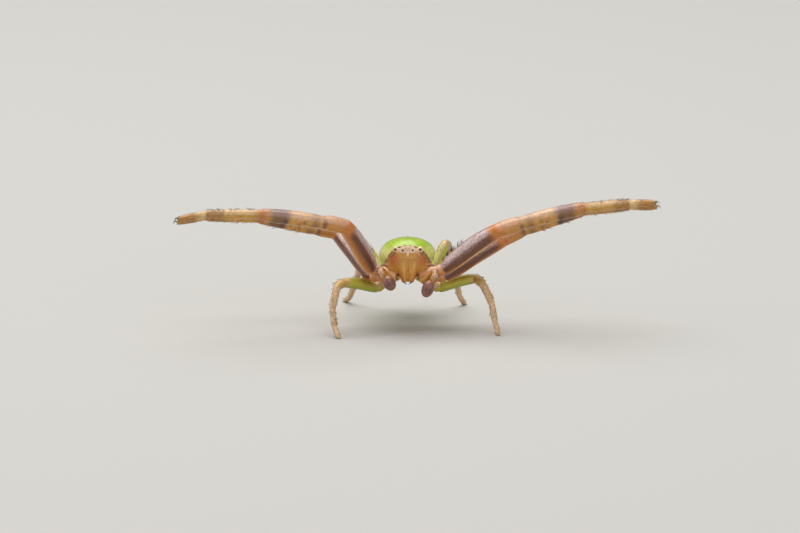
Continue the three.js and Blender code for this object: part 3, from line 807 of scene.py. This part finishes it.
# Fangs
# A short dark hook folds in from the end of each jaw.
FANG_ROOT, FANG_TIP = (0.13, 0.07, -0.93), (0.025, 0.04, -1.05)
FANG_RADIUS = 0.036
FANG_BOW = 0.025
HOOK_TAPER = 0.85  # how much of its thickness a hook has lost at its point
fang_horn = plain_material("dark fang horn", "#3A1A0C", {"Roughness": 0.22})
for side_name, side in SIDES.items():
    steps = np.linspace(0, 1, 9)[:, None]
    start, end = (on_body(side * across, back, up) for across, back, up in (FANG_ROOT, FANG_TIP))
    bow = on_body(side, 0, 0) * FANG_BOW * np.sin(np.pi * steps)
    fang = tube(start + (end - start) * steps + bow, FANG_RADIUS * (1 - HOOK_TAPER * steps[:, 0]))
    fang.name = f"hook_{side_name}"
    bpy.ops.object.shade_smooth()
    fang.data.materials.append(fang_horn)
    settle(fang, "fang", f"fang_{side_name}")

# Hairs
# Every hair is a stiff tapered bristle that leans towards the foot or the tail: long and black
# on top of the thighs and feet and under the shanks, short and fine elsewhere. Each is a
# three-sided spike, bent over its length, and many copies of it in an array make one piece.
HAIR_ROWS = 12  # rows of the hairs' colour map: one a leg, then the head, abdomen and palps
PATCH = 0.003  # each hair's share of that map
CUTS = (-0.15, 0.2)  # where a hair can bend, from its middle
BEND = 0.35
SUNK = 0.88  # how far out a limb's hairs are rooted, of its radius
rng = np.random.default_rng(7)
hair_horn, hair_shader = new_material("spider bristle")
hair_pigment = add_node(hair_horn, "ShaderNodeAttribute", {"attribute_name": "Pigment"})
link(hair_horn, hair_pigment.outputs["Color"], hair_shader.inputs["Base Color"])
hair_shader.inputs["Roughness"].default_value = 0.35


def unit(ways):
    return ways / np.maximum(1e-9, np.linalg.norm(ways, axis=1, keepdims=True))


# Each row of the colour map is unrolled from one part: its length across, and round it upwards
def map_spots(along, row, angle):
    return np.column_stack([
        0.01 + 0.98 * along, (row + 0.1 + angle % (2 * np.pi) / 8) / HAIR_ROWS])


# roots, ways (the direction each starts in) and lies (the direction it bends to) have a row for
# each hair, and spots are the roots' places on the colour map
def plant(name, slot, roots, ways, lies, lengths, widths, colours, spots):
    count = len(roots)
    bpy.ops.object.select_all(action="DESELECT")
    bpy.ops.mesh.primitive_cone_add(vertices=3, radius1=1, radius2=0.12, depth=1)
    hair = bpy.context.object
    hair.name = name
    bpy.ops.object.mode_set(mode="EDIT")
    for height in CUTS:
        bpy.ops.mesh.select_all(action="SELECT")
        bpy.ops.mesh.bisect(plane_co=(0, 0, height), plane_no=(0, 0, 1))
    bpy.ops.object.mode_set(mode="OBJECT")
    spike = coordinates(hair.data)
    spike[:, 2] += 0.5
    copies = hair.modifiers.new("copies", "ARRAY")
    copies.count = count
    copies.use_relative_offset = False
    bpy.ops.object.modifier_apply(modifier=copies.name)
    ways, lies = unit(ways), unit(lies)
    across = unit(np.cross(ways, lies) + 1e-6)
    inward = np.cross(ways, across)
    share = spike[:, 2][None, :, None]
    bend = BEND * share**2
    lengths, widths = lengths[:, None, None], widths[:, None, None]
    stem = share * (1 - bend) * ways[:, None] + share * bend * lies[:, None]
    points = roots[:, None] + lengths * stem
    points = points + widths / 2 * spike[None, :, 0:1] * across[:, None]
    points = points + widths / 2 * spike[None, :, 1:2] * inward[:, None]
    hair.data.vertices.foreach_set("co", points.ravel())
    hair.data.update()
    pigment = hair.data.attributes.new("Pigment", "FLOAT_COLOR", "POINT")
    tints = np.repeat(np.column_stack([colours, np.ones(count)]), len(spike), axis=0)
    pigment.data.foreach_set("color", tints.ravel())
    hair.data.uv_layers.active.name = "OFBake"
    corners = np.empty(len(hair.data.loops), int)
    hair.data.loops.foreach_get("vertex_index", corners)
    offsets = np.column_stack([spike[:, 0] + 1, spike[:, 2] * 2]) * PATCH / 2
    patches = (spots[:, None] + offsets[None]).reshape(-1, 2)[corners]
    hair.data.uv_layers["OFBake"].data.foreach_set("uv", patches.ravel())
    hair.data.materials.append(hair_horn)
    settle(hair, slot)


# Roots round a limb: share runs along it from 0 to 1 and angle round it, with its top at a
# quarter turn. Gives the roots and the outward and footward directions there.
def limb_roots(places, radii, share, angle):
    step = share * (len(places) - 1)
    low = np.minimum(step.astype(int), len(places) - 2)
    part = (step - low)[:, None]
    centre = places[low] * (1 - part) + places[low + 1] * part
    radius = radii[low] * (1 - part[:, 0]) + radii[low + 1] * part[:, 0]
    way = unit(places[low + 1] - places[low])
    level = unit(np.cross([0, 0, 1], way))
    crest = np.cross(way, level)
    out = np.cos(angle)[:, None] * level + np.sin(angle)[:, None] * crest
    return centre + out * (radius * SUNK)[:, None], out, way


# Kinds of hair on a leg: its name, its segments, the shares along them, the angle round it and
# how far it strays, the count a segment, length, width, lean to the foot and share of darkness
TOP, UNDER = math.pi / 2, -math.pi / 2
FRONT_HAIRS = (
    ("thigh_bristles", (FEMUR,), (0.06, 0.45), TOP, 0.45, 34, 0.22, 0.024, 0.5, 0.95),
    ("thigh_hairs", (FEMUR,), (0.05, 0.97), TOP, 2.6, 150, 0.075, 0.011, 1.4, 0.85),
    ("knee_hairs", (PATELLA,), (0.05, 0.95), TOP, 2.6, 60, 0.085, 0.011, 1.3, 0.8),
    ("shin_hairs", (TIBIA,), (0.03, 0.98), TOP, 3.1, 190, 0.09, 0.011, 1.3, 0.8),
    ("shin_spines", (TIBIA,), (0.15, 0.8), UNDER, 0.8, 8, 0.17, 0.022, 1.0, 0.8),
    ("foot_spines", (METATARSUS,), (0.08, 0.75), UNDER, 0.8, 8, 0.15, 0.02, 0.9, 0.8),
    ("foot_bristles", (METATARSUS,), (0.05, 0.95), TOP, 0.7, 26, 0.15, 0.018, 1.2, 0.95),
    ("foot_hairs", (METATARSUS, TARSUS), (0.03, 0.98), TOP, 3.1, 150, 0.095, 0.012, 1.1, 0.88),
)
HIND_HAIRS = (
    ("thigh_bristles", (FEMUR,), (0.15, 0.8), TOP, 0.6, 7, 0.14, 0.018, 0.6, 0.93),
    ("hairs", (FEMUR, PATELLA, TIBIA), (0.05, 0.97), TOP, 3.0, 70, 0.07, 0.01, 1.3, 0.75),
    ("spines", (PATELLA, TIBIA), (0.1, 0.9), TOP, 2.2, 9, 0.14, 0.02, 0.7, 0.97),
    ("foot_hairs", (METATARSUS, TARSUS), (0.05, 0.9), TOP, 3.0, 60, 0.065, 0.012, 1.3, 0.85),
    ("foot_spines", (METATARSUS,), (0.1, 0.9), TOP, 2.4, 9, 0.12, 0.02, 0.8, 0.97),
)
INK = tone("#140A06")
for row, ((pair, side_name), (_, places, radii)) in enumerate(legs.items()):
    grown = []
    kinds = FRONT_HAIRS if pair < 3 else HIND_HAIRS
    for _, segments, span, facing, stray, count, length, width, lean, dark in kinds:
        for segment in segments:
            share = rng.uniform(*span, count)
            angle = facing + rng.uniform(-stray, stray, count)
            along = (segment + share) / len(BOWS)
            roots, out, way = limb_roots(places, radii, along, angle)
            ways = out + way * (lean * rng.uniform(0.8, 1.2, count))[:, None]
            paint = front_leg_paint if pair < 3 else hind_leg_paint(pair)
            skin_tone = paint(np.full(count, segment), share, np.sin(angle))[0]
            tint = skin_tone + (INK - skin_tone) * dark
            spots = map_spots(along, row, angle)
            stature = length * rng.uniform(0.7, 1.15, count) * (1 - 0.3 * (segment == TARSUS))
            grown.append((roots, ways, way, stature, np.full(count, width), tint, spots))
    slot = "front_leg" if pair < 3 else "hind_leg"
    plant(f"hairs_leg{pair}_{side_name}", slot, *map(np.concatenate, zip(*grown)))


# Hairs on the head and abdomen grow from the forms' own shapes, at the shares t and angles given
def form_roots(shape, t, angle):
    step = 1e-3
    here = shape(t, angle)
    way = unit(shape(t + step, angle) - here)
    out = unit(np.cross(shape(t, angle + step) - here, way))
    return here - out * 0.01, out, way


def plant_on_form(name, slot, shape, paint, row, t, angle, length, width, lean, dark):
    roots, out, way = form_roots(shape, t, angle)
    count = len(t)
    ways = out + way * (lean * rng.uniform(0.7, 1.3, count))[:, None]
    skin_tone = paint(t, angle, roots)[0]
    tint = skin_tone + (INK - skin_tone) * dark
    spots = map_spots(t, row, angle)
    stature = length * rng.uniform(0.7, 1.2, count)
    plant(name, slot, roots, ways, way, stature, np.full(count, width), tint, spots)


HEAD_ROW, ABDOMEN_ROW, PALP_ROW = 8, 9, 10
HEAD_HAIRS, FRINGE_HAIRS, ABDOMEN_HAIRS, PALP_HAIRS = 260, 460, 520, 110
t = rng.uniform(0.03, 0.97, HEAD_HAIRS)
angle = rng.uniform(0.12, math.pi - 0.12, HEAD_HAIRS)
plant_on_form(
    "hairs_head", "carapace", carapace_shape, carapace_paint, HEAD_ROW, t, angle,
    length=0.09, width=0.012, lean=0.35, dark=0.9)
# Stouter dark bristles stand on the front half of the shield, either side of its middle line
angle = rng.uniform(0.1, 1.45, FRINGE_HAIRS)
angle = np.where(rng.uniform(size=FRINGE_HAIRS) < 0.5, angle, math.pi - angle)
t = rng.uniform(0.04, 0.45, FRINGE_HAIRS)
plant_on_form(
    "fringe_head", "carapace", carapace_shape, carapace_paint, HEAD_ROW, t, angle,
    length=0.09, width=0.022, lean=0.12, dark=1.0)
t = rng.uniform(0.03, 0.97, ABDOMEN_HAIRS)
angle = rng.uniform(-0.9, math.pi + 0.9, ABDOMEN_HAIRS)
plant_on_form(
    "hairs_abdomen", "abdomen", abdomen_shape, abdomen_paint, ABDOMEN_ROW, t, angle,
    length=0.1, width=0.011, lean=0.6, dark=0.8)

for row, (side_name, (places, radii)) in enumerate(palp_arms.items()):
    share = rng.uniform(0.3, 0.98, PALP_HAIRS)
    angle = rng.uniform(0, 2 * np.pi, PALP_HAIRS)
    roots, out, way = limb_roots(places, radii, share, angle)
    spots = map_spots(share, PALP_ROW + row, angle)
    tint = np.broadcast_to(tone("#2A1710"), (PALP_HAIRS, 3))
    stature = 0.1 * rng.uniform(0.7, 1.2, PALP_HAIRS)
    plant(
        f"hairs_palp_{side_name}", "palp", roots, out + way * 0.8, way, stature,
        np.full(PALP_HAIRS, 0.011), tint, spots)

# Claws
# Two small dark hooks at the end of each leg.
FRONT_CLAW, HIND_CLAW = 0.14, 0.06
CLAW_RADIUS = 0.018
CLAW_ROOT = 0.03  # how far it starts inside the foot
claw_horn = plain_material("dark claw horn", "#1C0E08", {"Roughness": 0.25})
for (pair, side_name), (joints, _, _) in legs.items():
    length = FRONT_CLAW if pair < 3 else HIND_CLAW
    way = unit((joints[5] - joints[4])[None])[0]
    level = unit(np.cross([0, 0, 1], way)[None])[0]
    crest = np.cross(way, level)
    for number, spread in enumerate((1, -1)):
        steps = np.linspace(0, 1, 9)[:, None]
        reach = way * length * steps + level * spread * (0.012 + 0.04 * steps)
        hook = crest * length * 0.45 * (np.sin(np.pi * steps) - 0.5 * steps)
        places = joints[5] - way * CLAW_ROOT + reach + hook * (pair < 3)
        claw = tube(places, CLAW_RADIUS * (1 - HOOK_TAPER * steps[:, 0]), 12)
        claw.name = f"claw_{pair}_{side_name}_{number}"
        bpy.ops.object.shade_smooth()
        claw.data.materials.append(claw_horn)
        settle(claw, "fang")

size = {"cad": cad_box, "visual": [list(corner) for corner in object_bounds()]}
